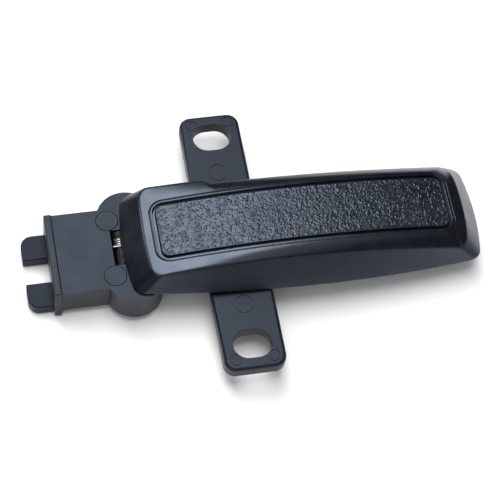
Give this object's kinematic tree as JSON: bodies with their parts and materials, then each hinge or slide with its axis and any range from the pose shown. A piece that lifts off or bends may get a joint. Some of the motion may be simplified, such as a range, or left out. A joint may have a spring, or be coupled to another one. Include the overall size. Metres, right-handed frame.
{
  "type": "lift-lever latch handle",
  "caption": "Black lift-lever door latch handle with a grained grip insert, a slotted mounting strap and a sprung two-prong fork that draws into its box.",
  "frame": {"origin": "midway between the two mounting slots, on the strap's back face", "axes": "+Z out of the door panel, +X along the lever towards its free end, +Y along the strap"},
  "size_m": [0.1225, 0.076, 0.0205],
  "materials": {
    "black_plastic": "fine moulded satin",
    "lever_plastic": "smooth satin",
    "fork_plastic": "worn satin",
    "grained_plastic": "leather grain",
    "steel": "zinc plated",
    "carrier_metal": "blackened die casting",
    "bearing_plastic": "natural acetal",
    "rubber": "matt"
  },
  "bodies": {
    "housing": {"latch_housing": "black_plastic", "screw_plugs": "black_plastic", "keeper_screws": "steel", "hinge_keepers": "black_plastic", "hinge_pin": "steel", "end_collar": "black_plastic", "base_cover": "black_plastic", "cover_screws": "steel", "mounting_strap": "black_plastic", "strap_screws": "steel", "stop_buffer": "rubber", "fork_springs": "steel", "return_spring": "steel"},
    "lever": {"lever_shell": "lever_plastic", "grip_insert": "grained_plastic", "lever_carrier": "carrier_metal", "hinge_bushings": "bearing_plastic", "drive_roller": "bearing_plastic", "roller_pin": "steel", "carrier_screws": "steel", "lever_back_plate": "black_plastic", "back_plate_screws": "steel"},
    "fork": {"fork_bolt": "fork_plastic", "drive_liner": "steel"}
  },
  "joints": [
    {"name": "lever_hinge", "type": "hinge", "parent": "housing", "child": "lever", "pos_m": [-0.0296, 0, 0.00355], "axis": [0, -1, 0], "range_deg": [0, 35], "stiffness_Nm_per_rad": 0.02, "springref_deg": -68.75, "deforming": ["return_spring"]},
    {"name": "fork_slide", "type": "slide", "parent": "housing", "child": "fork", "axis": [1, 0, 0], "range_m": [0, 0.0034], "stiffness_N_per_m": 150, "springref_m": -0.006, "deforming": ["fork_springs"]}
  ],
  "couplings": [
    {"joint": "fork_slide", "follows": "lever_hinge", "m_per_rad": 0.005513}
  ]
}
